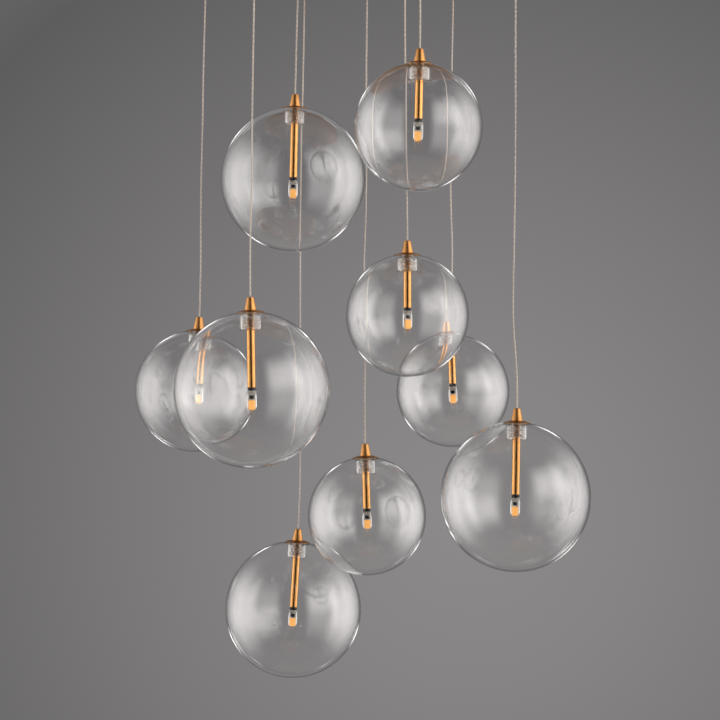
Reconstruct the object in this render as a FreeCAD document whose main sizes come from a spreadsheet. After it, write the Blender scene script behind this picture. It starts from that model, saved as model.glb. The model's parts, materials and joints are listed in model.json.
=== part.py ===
import FreeCAD, Part
import math
import operator
import os
from types import SimpleNamespace

import Sketcher

# A cluster pendant: nine clear blown-glass globes, each with its own small lamp, hang at different heights from
# one round ceiling canopy. Lengths are in millimetres and angles in degrees. The origin is the middle of the
# ceiling bracket's top face, Z points up, X to the right and Y away from the viewer.

SIZES = {
    # Canopy: a spun steel pan, open at the top, whose rim meets the ceiling.
    "canopy_diameter": 400.0,
    "canopy_depth": 32.0,
    "canopy_wall": 1.2,
    "canopy_corner": 6.0,
    # Bracket: a flat steel cross under the ceiling, with a tab turned down at the end of each arm.
    "bracket_arm_width": 25.0,
    "bracket_thickness": 2.5,
    "bracket_tab_depth": 16.0,
    "bracket_rim_gap": 0.4,
    "ceiling_hole_radius": 2.75,
    "ceiling_hole_circle": 70.0,
    "mains_hole_radius": 10.0,
    # Side screws: knurled heads outside the pan's wall, shanks in the bracket's tabs.
    "side_screw_drop": 9.0,
    "side_screw_radius": 1.95,
    "side_screw_head_radius": 4.0,
    "side_screw_head": 3.0,
    "side_screw_reach": 8.0,
    "thread_play": 0.05,
    "hole_play": 0.25,
    # Cord grips: turned brass, a shank through the pan with a nut inside and a bell mouth outside.
    "grip_flange_radius": 7.0,
    "grip_flange": 2.0,
    "grip_mouth_rim_radius": 4.6,
    "grip_mouth_radius": 3.4,
    "grip_height": 12.0,
    "grip_mouth_depth": 6.0,
    "grip_shank_radius": 4.8,
    "grip_shank": 9.0,
    "grip_play": 0.4,
    "nut_flats": 13.0,
    "nut_thickness": 3.0,
    # LED driver: a potted box under the bracket's near arm.
    "driver_length": 110.0,
    "driver_width": 40.0,
    "driver_height": 20.0,
    "driver_edge": 3.0,
    "driver_ear": 10.0,
    "driver_ear_width": 24.0,
    "driver_ear_thickness": 3.0,
    "driver_place": 110.0,
    # Terminal block: five ways in a row under the left arm.
    "block_pitch": 8.0,
    "block_width": 17.0,
    "block_height": 13.0,
    "block_entry_radius": 1.6,
    "block_entry": 5.0,
    "block_place": 110.0,
    # Small screws that hold the driver and the block up to the bracket.
    "small_screw_radius": 1.45,
    "small_screw_head_radius": 2.75,
    "small_screw_head": 1.8,
    # Cord: two fine wires in one clear sheath.
    "cord_radius": 0.75,
    "cord_play": 0.2,
    "cord_seat": 6.4,
    # Cone: the plated cap that the cord comes out of.
    "cone_top_radius": 3.5,
    "cone_base_radius": 5.9,
    "cone_height": 12.3,
    "cone_edge": 0.4,
    "cone_wire_radius": 0.7,
    "cone_socket": 4.7,
    # Grub screw: pinches the cord near the top of the cone.
    "grub_radius": 1.5,
    "grub_length": 2.85,
    "grub_drop": 3.5,
    "grub_socket_radius": 0.85,
    "grub_socket": 1.3,
    # Disc: a thin dished washer between the cone and the glass, turned thinner towards its rim.
    "disc_radius": 13.5,
    "disc_thickness": 1.0,
    "disc_rim": 0.35,
    "disc_lift": 0.2,
    # Plug: a clear ribbed bung that fills the neck of the glass.
    "plug_length": 15.0,
    "plug_drop": 0.5,
    "plug_root_radius": 7.9,
    "plug_rib_radius": 8.65,
    "plug_rib_width": 2.0,
    "plug_play": 0.25,
    # Globe: a blown sphere whose neck is turned in at the top.
    "large_globe_diameter": 150.0,
    "small_globe_diameter": 125.0,
    "glass_wall": 2.0,
    "neck_wall": 1.75,
    "neck_depth": 17.0,
    "neck_lip": 1.0,
    "neck_root": 1.5,
    "neck_end_bend": 1.1,
    # Stem: a plated tube from the cone down to the lamp, long in the large globes and short in the small ones.
    "stem_radius": 4.05,
    "stem_wall": 0.8,
    "stem_play": 0.05,
    "stem_seat_gap": 0.2,
    "large_stem_reach": 72.5,
    "small_stem_reach": 54.5,
    # Lamp holder: a black ring at the tube's end with two pin holes.
    "holder_radius": 3.9,
    "holder_show": 3.0,
    "holder_seat": 8.5,
    "pin_spacing": 4.0,
    "pin_radius": 0.35,
    "pin_play": 0.1,
    "pin_length": 7.0,
    "pin_end_gap": 0.5,
    # Lamp: a clear two-pin capsule, cast solid round an LED stick.
    "lamp_gap": 0.3,
    "lamp_radius": 4.75,
    "lamp_length": 21.0,
    "lamp_wall": 0.8,
    "lamp_tip_radius": 1.3,
    "lamp_tip_length": 1.9,
    "lamp_tip_end_radius": 0.7,
    "lamp_base": 2.0,
    "lamp_cast_play": 0.05,
    "board_width": 5.6,
    "board_thickness": 1.0,
    "board_length": 15.0,
    "phosphor_width": 5.2,
    "phosphor_thickness": 2.4,
    "phosphor_length": 8.0,
    "chip_width": 3.6,
    "chip_thickness": 2.2,
    "chip_length": 3.2,
    "chip_drop": 4.4,
}

# How each pendant hangs. X and Y are plan places, drop is from the ceiling to the top of its cone, lean tips the
# foot of the pendant towards +X, and the turns are about its own axis, from facing the viewer.
HANG = ("grip_x", "plan_y", "hang_x", "drop", "lean", "cap_turn", "lamp_turn")
PENDANTS = {
    1: ("large", (-61.5, 13.0, -64.0, 183.5, -0.9, 150.0, 15.0)),
    2: ("small", (60.0, -121.0, 61.0, 154.0, -0.8, 4.0, -20.0)),
    3: ("small", (47.6, -30.0, 52.4, 336.0, 0.5, 32.0, 30.0)),
    4: ("small", (105.3, 153.0, 105.0, 417.5, 2.5, 200.0, -10.0)),
    5: ("large", (-98.0, -153.0, -99.7, 396.5, 1.2, -75.0, 8.0)),
    6: ("small", (-155.2, -10.0, -159.6, 415.0, -2.1, 120.0, -30.0)),
    7: ("small", (10.1, 50.0, 11.4, 547.0, 1.9, 0.0, 12.0)),
    8: ("large", (157.6, -60.0, 162.6, 504.0, -0.6, 170.0, -15.0)),
    9: ("large", (-58.8, 147.0, -61.5, 647.0, -3.0, -14.0, 0.0)),
}

# The route of each cord, from its grip to its seat in the cone, chosen by hand. The cords carry weight, so their
# runs are long and nearly plumb, with the faint kinks that a fine sheathed cord keeps.
ROUTES = {
    1: ((-61.5, 13.0, -38.0), (-61.8, 13.2, -76.0), (-63.0, 12.8, -118.0), (-63.65, 13.0, -161.5),
        (-64.09, 13.0, -189.5)),
    2: ((60.0, -121.0, -38.0), (60.3, -121.2, -82.0), (61.35, -121.0, -129.0), (60.92, -121.0, -160.0)),
    3: ((47.6, -30.0, -38.0), (48.0, -30.3, -100.0), (49.2, -29.8, -180.0), (50.2, -30.2, -262.0),
        (52.1, -30.0, -304.0), (52.45, -30.0, -342.0)),
    4: ((105.3, 153.0, -38.0), (104.8, 153.4, -110.0), (103.5, 152.8, -190.0), (103.7, 153.2, -275.0),
        (107.3, 153.0, -350.0), (103.95, 153.0, -393.5), (105.26, 153.0, -423.5)),
    5: ((-98.0, -153.0, -38.0), (-98.3, -153.4, -112.0), (-99.2, -152.7, -196.0), (-99.4, -153.2, -284.0),
        (-100.54, -153.0, -356.5), (-99.57, -153.0, -402.5)),
    6: ((-155.2, -10.0, -38.0), (-155.9, -10.3, -92.0), (-157.6, -9.8, -158.0), (-157.7, -10.2, -214.0),
        (-159.2, -9.9, -290.0), (-158.43, -10.0, -383.0), (-159.82, -10.0, -421.0)),
    7: ((10.1, 50.0, -38.0), (9.2, 50.4, -142.0), (10.5, 49.7, -224.0), (10.3, 50.2, -302.0),
        (8.5, 50.0, -362.0), (11.0, 49.8, -432.0), (10.24, 50.0, -512.0), (11.6, 50.0, -553.0)),
    8: ((157.6, -60.0, -38.0), (158.0, -60.4, -130.0), (158.9, -59.7, -232.0), (158.6, -60.2, -332.0),
        (157.3, -60.0, -412.0), (161.2, -59.8, -456.0), (162.81, -60.0, -484.0), (162.54, -60.0, -510.0)),
    9: ((-58.8, 147.0, -38.0), (-59.5, 147.4, -128.0), (-61.2, 146.7, -226.0), (-61.6, 147.3, -330.0),
        (-60.7, 146.8, -436.0), (-59.9, 147.2, -530.0), (-59.51, 147.0, -609.0), (-61.81, 147.0, -653.0)),
}
# An arc at a point of a route takes this share of the shorter of its two runs.
ARC_SHARE = 0.45

doc = FreeCAD.newDocument("ClusterPendant")
sheet = doc.addObject("Spreadsheet::Sheet", "Sizes")


def fill_sheet():
    """Writes every size into the sheet, one row each: its name, its value, and that name as the value's alias."""
    values = dict(SIZES)
    for number, (_, hang) in PENDANTS.items():
        values.update({f"{name}_{number}": value for name, value in zip(HANG, hang)})
    for row, (name, value) in enumerate(values.items(), start=1):
        sheet.set(f"A{row}", name)
        sheet.set(f"B{row}", str(value))
        sheet.setAlias(f"B{row}", name)
    doc.recompute()
    return values


class Size:
    """A size that knows its value and the formula over the sheet's cells that gives it."""

    def __init__(self, value, formula):
        self.value = value
        self.formula = formula

    def __add__(self, other):
        return combined(self, "+", other)

    def __radd__(self, other):
        return combined(other, "+", self)

    def __sub__(self, other):
        return combined(self, "-", other)

    def __rsub__(self, other):
        return combined(other, "-", self)

    def __mul__(self, other):
        return combined(self, "*", other)

    def __rmul__(self, other):
        return combined(other, "*", self)

    def __truediv__(self, other):
        return combined(self, "/", other)

    def __neg__(self):
        return combined(0, "-", self)


OPERATIONS = {"+": operator.add, "-": operator.sub, "*": operator.mul, "/": operator.truediv}


def as_size(number):
    return number if isinstance(number, Size) else Size(float(number), str(number))


def combined(left, sign, right):
    left, right = as_size(left), as_size(right)
    return Size(OPERATIONS[sign](left.value, right.value), f"({left.formula} {sign} {right.formula})")


def leg(long_side, short_side):
    """The other leg of a right triangle, so a sphere's height over a point at short_side from its axis."""
    square = long_side * long_side - short_side * short_side
    return Size(math.sqrt(square.value), f"sqrt({square.formula})")


def slope_length(one_leg, other_leg):
    """The long side of a right triangle."""
    square = one_leg * one_leg + other_leg * other_leg
    return Size(math.sqrt(square.value), f"sqrt({square.formula})")


s = SimpleNamespace(**{name: Size(value, f"Sizes.{name}") for name, value in fill_sheet().items()})


def bind(thing, **sizes):
    for name, size in sizes.items():
        thing.setExpression(name, as_size(size).formula)
    return thing


def place(thing, x=0, y=0, z=0, turns=()):
    """Places a thing at a point. Turns are (axis, angle), and the last of them is made first."""
    point = "; ".join(as_size(value).formula for value in (x, y, z))
    turned_by = " * ".join(
        f"rotation(vector({axis[0]}; {axis[1]}; {axis[2]}); {as_size(angle).formula})"
        for axis, angle in (turns or (((0, 0, 1), 0),))
    )
    thing.setExpression("Placement", f"placement(vector({point}); {turned_by})")
    return thing


# ---- sketches ----

def new_sketch(body, name, plane):
    sketch = body.newObject("Sketcher::SketchObject", name)
    sketch.AttachmentSupport = [(next(f for f in body.Origin.OriginFeatures if f.Role == plane), "")]
    sketch.MapMode = "FlatFace"
    return sketch


def measure(sketch, kind, label, size, *points):
    """Adds one named dimension to a sketch and ties it to its formula."""
    index = sketch.addConstraint(Sketcher.Constraint(kind, *points, as_size(size).value))
    sketch.renameConstraint(index, label)
    sketch.setExpression(f"Constraints.{label}", as_size(size).formula)


def arc_geometry(start, end, radius, way):
    """The arc of under half a turn from start to end, anticlockwise where way is 1 and clockwise where it is -1."""
    chord = end - start
    across = FreeCAD.Vector(-chord.y, chord.x, 0) * (way / chord.Length)
    centre = start + chord * 0.5 + across * math.sqrt(radius * radius - chord.Length * chord.Length / 4)
    first, last = (start, end) if way > 0 else (end, start)
    angles = [math.atan2(p.y - centre.y, p.x - centre.x) for p in (first, last)]
    return Part.ArcOfCircle(Part.Circle(centre, FreeCAD.Vector(0, 0, 1), radius), *angles)


def draw_outline(sketch, corners):
    """Closes an outline through corners of (x, y), or of (x, y, radius, way) where an arc leads to the corner."""
    points = [FreeCAD.Vector(as_size(c[0]).value, as_size(c[1]).value, 0) for c in corners]
    ends = []
    for index, corner in enumerate(corners):
        start, end = points[index - 1], points[index]
        if len(corner) == 2:
            side = sketch.addGeometry(Part.LineSegment(start, end), False)
            ends.append((side, 1, 2))
            continue
        radius, way = corner[2:]
        side = sketch.addGeometry(arc_geometry(start, end, as_size(radius).value, way), False)
        ends.append((side, 1, 2) if way > 0 else (side, 2, 1))
        measure(sketch, "Radius", f"bend_{index}", radius, side)
    for index, corner in enumerate(corners):
        side, _, last = ends[index]
        following, first, _ = ends[(index + 1) % len(corners)]
        sketch.addConstraint(Sketcher.Constraint("Coincident", side, last, following, first))
        if isinstance(corner[0], Size):
            measure(sketch, "DistanceX", f"x_{index}", corner[0], -1, 1, side, last)
        else:
            sketch.addConstraint(Sketcher.Constraint("PointOnObject", side, last, -2))
        measure(sketch, "DistanceY", f"y_{index}", corner[1], -1, 1, side, last)


def draw_circle(sketch, label, x, y, radius):
    circle = Part.Circle(
        FreeCAD.Vector(as_size(x).value, as_size(y).value, 0), FreeCAD.Vector(0, 0, 1), as_size(radius).value
    )
    ring = sketch.addGeometry(circle, False)
    measure(sketch, "DistanceX", f"x_{label}", x, -1, 1, ring, 3)
    measure(sketch, "DistanceY", f"y_{label}", y, -1, 1, ring, 3)
    measure(sketch, "Radius", f"radius_{label}", radius, ring)


# ---- ways of making a piece ----

def turned(name, outline):
    """A body turned about Z from an outline of (radius, height) corners."""
    body = doc.addObject("PartDesign::Body", name)
    sketch = new_sketch(body, f"{name}_outline", "XZ_Plane")
    draw_outline(sketch, outline)
    lathe = body.newObject("PartDesign::Revolution", f"{name}_lathe")
    lathe.Profile = sketch
    lathe.ReferenceAxis = (sketch, ["V_Axis"])
    lathe.Angle = 360
    return body


def padded(body, name, outline, depth, downwards=True):
    """Adds a pad of the given depth, from an outline on the body's XY plane."""
    sketch = new_sketch(body, f"{name}_outline", "XY_Plane")
    draw_outline(sketch, outline)
    pad = body.newObject("PartDesign::Pad", name)
    pad.Profile = sketch
    pad.Reversed = downwards
    bind(pad, Length=depth)
    return pad


def pierced(body, name, plane, circles):
    """Cuts round holes right through a body, both ways from one of its planes."""
    sketch = new_sketch(body, f"{name}_circles", plane)
    for label, (x, y, radius) in enumerate(circles):
        draw_circle(sketch, label, x, y, radius)
    pocket = body.newObject("PartDesign::Pocket", name)
    pocket.Profile = sketch
    pocket.Type = "ThroughAll"
    pocket.Midplane = True
    return pocket


def cylinder(name, radius, height, **where):
    return place(bind(doc.addObject("Part::Cylinder", name), Radius=radius, Height=height), **where)


def block(name, length, width, height, top, x=0, y=0):
    """A box that hangs below top, centred over x and y."""
    box = bind(doc.addObject("Part::Box", name), Length=length, Width=width, Height=height)
    return place(box, x=x - length / 2, y=y - width / 2, z=top - height)


def joined(name, pieces):
    fuse = doc.addObject("Part::MultiFuse", name)
    fuse.Shapes = pieces
    return fuse


def cut_from(name, base, tool):
    cut = doc.addObject("Part::Cut", name)
    cut.Base = base
    cut.Tool = tool
    return cut


def group(name, pieces):
    """Several solids, or one, that are placed together."""
    compound = doc.addObject("Part::Compound", name)
    compound.Links = pieces
    return compound


nodes = []


def node(name, pieces):
    compound = group(name, pieces)
    compound.Label = name
    nodes.append(compound)
    return compound


# ---- canopy ----

X_AXIS, Y_AXIS, Z_AXIS = (1, 0, 0), (0, 1, 0), (0, 0, 1)
canopy_radius = s.canopy_diameter / 2
canopy_inside_radius = canopy_radius - s.canopy_wall
grip_places = {number: (getattr(s, f"grip_x_{number}"), getattr(s, f"plan_y_{number}")) for number in PENDANTS}


def make_canopy_pan():
    corner_inside = s.canopy_corner - s.canopy_wall
    pan = turned("pan", [
        (0, -s.canopy_depth),
        (canopy_radius - s.canopy_corner, -s.canopy_depth),
        (canopy_radius, s.canopy_corner - s.canopy_depth, s.canopy_corner, 1),
        (canopy_radius, as_size(0)),
        (canopy_inside_radius, as_size(0)),
        (canopy_inside_radius, s.canopy_corner - s.canopy_depth),
        (canopy_radius - s.canopy_corner, s.canopy_wall - s.canopy_depth, corner_inside, -1),
        (0, s.canopy_wall - s.canopy_depth),
    ])
    hole = s.grip_shank_radius + s.hole_play
    pierced(pan, "pan_grip_holes", "XY_Plane", [(x, y, hole) for x, y in grip_places.values()])
    screw_hole = s.side_screw_radius + s.hole_play
    for plane in ("XZ_Plane", "YZ_Plane"):
        pierced(pan, f"pan_{plane}_screw_holes", plane, [(as_size(0), -s.side_screw_drop, screw_hole)])
    node("canopy_pan", [pan])


def make_ceiling_bracket():
    """A cross of two arms, with the four tabs that the side screws reach."""
    end = canopy_inside_radius - s.bracket_rim_gap
    half = s.bracket_arm_width / 2
    bracket = doc.addObject("PartDesign::Body", "bracket")
    padded(bracket, "bracket_cross", [
        (end, -half), (end, half), (half, half), (half, end), (-half, end), (-half, half),
        (-end, half), (-end, -half), (-half, -half), (-half, -end), (half, -end), (half, -half),
    ], s.bracket_thickness)
    inner = end - s.bracket_thickness
    tabs = {
        "right": [(inner, -half), (end, -half), (end, half), (inner, half)],
        "left": [(-end, -half), (-inner, -half), (-inner, half), (-end, half)],
        "far": [(-half, inner), (half, inner), (half, end), (-half, end)],
        "near": [(-half, -end), (half, -end), (half, -inner), (-half, -inner)],
    }
    for side, outline in tabs.items():
        padded(bracket, f"bracket_tab_{side}", outline, s.bracket_tab_depth)
    hole = s.ceiling_hole_radius
    circle = s.ceiling_hole_circle / 2
    here = as_size(0)
    pierced(bracket, "bracket_ceiling_holes", "XY_Plane", [
        (circle, here, hole), (-circle, here, hole), (here, circle, hole), (here, -circle, hole),
        (here, here, s.mains_hole_radius),
    ])
    small_hole = s.small_screw_radius + s.thread_play
    pierced(bracket, "bracket_small_holes", "XY_Plane", [(x, y, small_hole) for x, y in small_screw_places])
    tab_hole = s.side_screw_radius + s.thread_play
    for plane in ("XZ_Plane", "YZ_Plane"):
        pierced(bracket, f"bracket_{plane}_tab_holes", plane, [(here, -s.side_screw_drop, tab_hole)])
    node("ceiling_bracket", [bracket])


ear_offset = (s.driver_length + s.driver_ear) / 2
small_screw_places = [
    (as_size(0), -s.driver_place - ear_offset),
    (as_size(0), -s.driver_place + ear_offset),
    (-s.block_place, as_size(0)),
]


def make_cord_grips():
    """Nine grips, each with the nut that holds it in the pan. A grip's own frame starts at the pan's underside."""
    bore = s.cord_radius + s.grip_play
    grip = turned("grip", [
        (bore, s.grip_shank), (s.grip_shank_radius, s.grip_shank), (s.grip_shank_radius, as_size(0)),
        (s.grip_flange_radius, as_size(0)), (s.grip_flange_radius, -s.grip_flange),
        (s.grip_mouth_rim_radius, -s.grip_height), (s.grip_mouth_radius, -s.grip_height),
        (bore, -s.grip_mouth_depth),
    ])
    hexagon = doc.addObject("Part::Prism", "nut_hexagon")
    hexagon.Polygon = 6
    bind(hexagon, Circumradius=s.nut_flats / math.sqrt(3), Height=s.nut_thickness)
    place(hexagon, z=s.canopy_wall)
    thread = cylinder("nut_thread", s.grip_shank_radius + s.thread_play, s.nut_thickness, z=s.canopy_wall)
    nut = cut_from("nut", hexagon, thread)
    sets = [
        place(group(f"grip_set_{number}", [grip, nut]), x=x, y=y, z=-s.canopy_depth)
        for number, (x, y) in grip_places.items()
    ]
    node("cord_grips", sets)


def make_canopy_screws():
    """Four knurled screws through the pan's side, and three small ones up into the bracket."""
    side = turned("side_screw", [
        (0, -s.side_screw_head), (s.side_screw_head_radius, -s.side_screw_head),
        (s.side_screw_head_radius, as_size(0)), (s.side_screw_radius, as_size(0)),
        (s.side_screw_radius, s.side_screw_reach), (0, s.side_screw_reach),
    ])
    sets = []
    for quarter in range(4):
        arm = group(f"side_screw_arm_{quarter}", [
            place(group(f"side_screw_set_{quarter}", [side]), x=canopy_radius, z=-s.side_screw_drop,
                  turns=((Y_AXIS, -90),))
        ])
        sets.append(place(arm, turns=((Z_AXIS, 90 * quarter),)))
    heads_under = (s.driver_ear_thickness, s.driver_ear_thickness, s.block_height)
    for index, ((x, y), under) in enumerate(zip(small_screw_places, heads_under)):
        small = turned(f"small_screw_{index}", [
            (0, -s.small_screw_head - under), (s.small_screw_head_radius, -s.small_screw_head - under),
            (s.small_screw_head_radius, -under), (s.small_screw_radius, -under),
            (s.small_screw_radius, s.bracket_thickness), (0, s.bracket_thickness),
        ])
        sets.append(place(group(f"small_screw_set_{index}", [small]), x=x, y=y, z=-s.bracket_thickness))
    node("canopy_screws", sets)


def make_led_driver():
    """A box with rounded upright edges, and an ear at each end under the bracket's arm."""
    box = block("driver_box", s.driver_width, s.driver_length, s.driver_height, -s.bracket_thickness,
                y=-s.driver_place)
    ears = block("driver_ears", s.driver_ear_width, s.driver_length + 2 * s.driver_ear, s.driver_ear_thickness,
                 -s.bracket_thickness, y=-s.driver_place)
    doc.recompute()
    upright = [
        (number, SIZES["driver_edge"], SIZES["driver_edge"])
        for number, edge in enumerate(box.Shape.Edges, start=1)
        if abs(edge.Vertexes[0].X - edge.Vertexes[1].X) + abs(edge.Vertexes[0].Y - edge.Vertexes[1].Y) < 1e-6
    ]
    rounded = doc.addObject("Part::Fillet", "driver_rounded")
    rounded.Base = box
    rounded.Edges = upright
    hole = s.small_screw_radius + s.hole_play
    holes = joined("driver_holes", [
        cylinder(f"driver_hole_{index}", hole, s.driver_ear_thickness, x=x, y=y,
                 z=-s.bracket_thickness - s.driver_ear_thickness)
        for index, (x, y) in enumerate(small_screw_places[:2])
    ])
    node("led_driver", [cut_from("driver", joined("driver_whole", [rounded, ears]), holes)])


def make_terminal_block():
    """A bar of five ways, with a wire entry at each end of each way and one fixing hole."""
    ways = 5
    top = -s.bracket_thickness
    bar = block("block_bar", ways * s.block_pitch, s.block_width, s.block_height, top, x=-s.block_place)
    level = top - s.block_height / 2
    entries = []
    for way in range(ways):
        if way == ways // 2:
            continue
        x = (way - ways // 2) * s.block_pitch - s.block_place
        entries.append(cylinder(f"block_near_entry_{way}", s.block_entry_radius, s.block_entry, x=x,
                                y=s.block_entry - s.block_width / 2, z=level, turns=((X_AXIS, 90),)))
        entries.append(cylinder(f"block_far_entry_{way}", s.block_entry_radius, s.block_entry, x=x,
                                y=s.block_width / 2, z=level, turns=((X_AXIS, 90),)))
    entries.append(cylinder("block_fixing_hole", s.small_screw_radius + s.hole_play, s.block_height,
                            x=-s.block_place, z=top - s.block_height))
    node("terminal_block", [cut_from("block", bar, joined("block_holes", entries))])


# ---- pendant: its own frame starts at the top of the cone ----

cord_bore = s.cord_radius + s.cord_play
stem_bore = s.stem_radius + s.stem_play
pole_drop = s.cone_height + s.disc_thickness + s.disc_lift


def make_cone():
    socket_top = s.cone_socket - s.cone_height
    cone = turned("cone", [
        (cord_bore, as_size(0)),
        (s.cone_top_radius - s.cone_edge, as_size(0)),
        (s.cone_top_radius, -s.cone_edge),
        (s.cone_base_radius, -s.cone_height),
        (stem_bore, -s.cone_height),
        (stem_bore, socket_top),
        (s.cone_wire_radius, socket_top),
        (s.cone_wire_radius, -s.cord_seat),
        (cord_bore, -s.cord_seat),
    ])
    sketch = new_sketch(cone, "grub_hole_circle", "XZ_Plane")
    draw_circle(sketch, "grub", as_size(0), -s.grub_drop, s.grub_radius + s.thread_play)
    hole = cone.newObject("PartDesign::Pocket", "grub_hole")
    hole.Profile = sketch
    hole.Reversed = True
    bind(hole, Length=s.cone_base_radius)
    return cone


def make_grub_screw():
    """A headless screw with a hexagon socket. Its tip stops just short of the cord."""
    shank = cylinder("grub_shank", s.grub_radius, s.grub_length)
    socket = bind(doc.addObject("Part::Prism", "grub_socket"), Circumradius=s.grub_socket_radius,
                  Height=s.grub_socket)
    socket.Polygon = 6
    place(socket, z=s.grub_length - s.grub_socket)
    screw = cut_from("grub_screw", shank, socket)
    return place(screw, y=-cord_bore, z=-s.grub_drop, turns=((X_AXIS, 90),))


def make_disc(kind, radius):
    """A dished washer that follows the glass below it, flat where the cone stands on it and thinner at its rim."""
    under = radius + s.disc_lift
    flat = under + s.disc_thickness
    rim_under = leg(under, s.disc_radius)
    rim_over = rim_under + s.disc_rim
    spread = s.disc_radius * s.disc_radius - s.cone_base_radius * s.cone_base_radius
    over_centre = (flat + rim_over) / 2 - spread / (2 * (flat - rim_over))
    disc = turned(f"{kind}_disc", [
        (stem_bore, leg(under, stem_bore)),
        (s.disc_radius, rim_under, under, -1),
        (s.disc_radius, rim_over),
        (s.cone_base_radius, flat, slope_length(s.cone_base_radius, flat - over_centre), 1),
        (stem_bore, flat),
    ])
    return place(disc, z=-pole_drop - radius)


def make_plug(kind, radius):
    """The bung: a tube round the stem with rounded ribs that grip the neck."""
    ribs = 5
    step = s.plug_length / ribs
    top = radius - s.plug_drop
    half = s.plug_rib_width / 2
    height = s.plug_rib_radius - s.plug_root_radius
    bend = (half * half + height * height) / (2 * height)
    outline = [(stem_bore, top - s.plug_length), (stem_bore, top), (s.plug_root_radius, top)]
    for rib in range(ribs):
        middle = top - step / 2 - rib * step
        outline.append((s.plug_root_radius, middle + half))
        outline.append((s.plug_root_radius, middle - half, bend, -1))
    outline.append((s.plug_root_radius, top - s.plug_length))
    return place(turned(f"{kind}_plug", outline), z=-pole_drop - radius)


def make_globe(kind, radius):
    """A blown sphere. Its neck is turned in, with a rounded lip, a soft root inside and a fire-polished end."""
    bore = s.plug_rib_radius + s.plug_play
    inside = radius - s.glass_wall
    neck_end = radius - s.neck_depth
    lip_top = leg(radius, bore + s.neck_lip)
    outside_neck = bore + s.neck_wall
    root_top = leg(inside, outside_neck + s.neck_root)
    globe = turned(f"{kind}_globe", [
        (bore, neck_end, s.neck_end_bend, -1),
        (bore, lip_top - s.neck_lip),
        (bore + s.neck_lip, lip_top, s.neck_lip, -1),
        (0, -radius, radius, -1),
        (0, -inside),
        (outside_neck + s.neck_root, root_top, inside, 1),
        (outside_neck, root_top - s.neck_root, s.neck_root, 1),
        (outside_neck, neck_end),
    ])
    return place(globe, z=-pole_drop - radius)


def make_stem(kind, reach):
    """The tube, from its seat in the cone down to the lamp holder."""
    top = s.cone_socket - s.stem_seat_gap - s.cone_height
    foot = -pole_drop - reach
    inside = s.stem_radius - s.stem_wall
    return turned(f"{kind}_stem", [(inside, foot), (s.stem_radius, foot), (s.stem_radius, top), (inside, top)])


def make_holder():
    """The lamp holder, in its own frame from the tube's foot: a ring below it and a spigot inside it."""
    spigot = s.stem_radius - s.stem_wall - s.stem_play
    body = turned("holder_body", [
        (0, -s.holder_show), (s.holder_radius, -s.holder_show), (s.holder_radius, as_size(0)),
        (spigot, as_size(0)), (spigot, s.holder_seat), (0, s.holder_seat),
    ])
    depth = s.pin_length + s.pin_end_gap
    holes = joined("holder_holes", [
        cylinder(f"holder_hole_{side}", s.pin_radius + s.pin_play, depth, x=side * s.pin_spacing / 2,
                 z=-s.holder_show)
        for side in (-1, 1)
    ])
    return cut_from("holder", body, holes)


def stick_pieces(name, play):
    """The base, the board and what is on the board, each grown by play all round."""
    foot = -s.lamp_base - s.board_length
    base = cylinder(f"{name}_base", s.lamp_radius - s.lamp_wall + play, s.lamp_base + 2 * play, z=-s.lamp_base - play)
    blocks = {
        "board": (s.board_width, s.board_thickness, s.board_length, -s.lamp_base),
        "phosphor": (s.phosphor_width, s.phosphor_thickness, s.phosphor_length, foot + s.phosphor_length),
        "chip": (s.chip_width, s.chip_thickness, s.chip_length, -s.chip_drop),
    }
    return [base] + [
        block(f"{name}_{piece}", *(side + 2 * play for side in sides), top + play)
        for piece, (*sides, top) in blocks.items()
    ]


def make_lamp():
    """The cast capsule and the stick in it, in the lamp's own frame from the top of its base."""
    shoulder = s.lamp_radius + s.lamp_tip_length - s.lamp_length
    tip_root = shoulder - leg(s.lamp_radius, s.lamp_tip_radius)
    capsule = turned("capsule", [
        (0, -s.lamp_length),
        (s.lamp_tip_end_radius, -s.lamp_length),
        (s.lamp_tip_radius, tip_root),
        (s.lamp_radius, shoulder, s.lamp_radius, 1),
        (s.lamp_radius, as_size(0)),
        (0, as_size(0)),
    ])
    cast = cut_from("capsule_cast", capsule, joined("capsule_hollow", stick_pieces("hollow", s.lamp_cast_play)))
    pins = [
        cylinder(f"lamp_pin_{side}", s.pin_radius, s.pin_length + s.lamp_base, x=side * s.pin_spacing / 2,
                 z=-s.lamp_base)
        for side in (-1, 1)
    ]
    return [cast, joined("lamp_core", stick_pieces("stick", as_size(0)) + pins)]


def hang(number, name, pieces, below=None, turn=0):
    """Hangs a node of one pendant: turned about its own axis, leaning, with its frame's origin below the cone's top."""
    lean = getattr(s, f"lean_{number}")
    axis_turns = (((0, -1, 0), lean), (Z_AXIS, turn))
    inner = [place(group(f"{name}_inner", pieces), z=below)] if below is not None else pieces
    place(node(name, inner), x=getattr(s, f"hang_x_{number}"), y=getattr(s, f"plan_y_{number}"),
          z=-getattr(s, f"drop_{number}"), turns=axis_turns)


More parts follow.
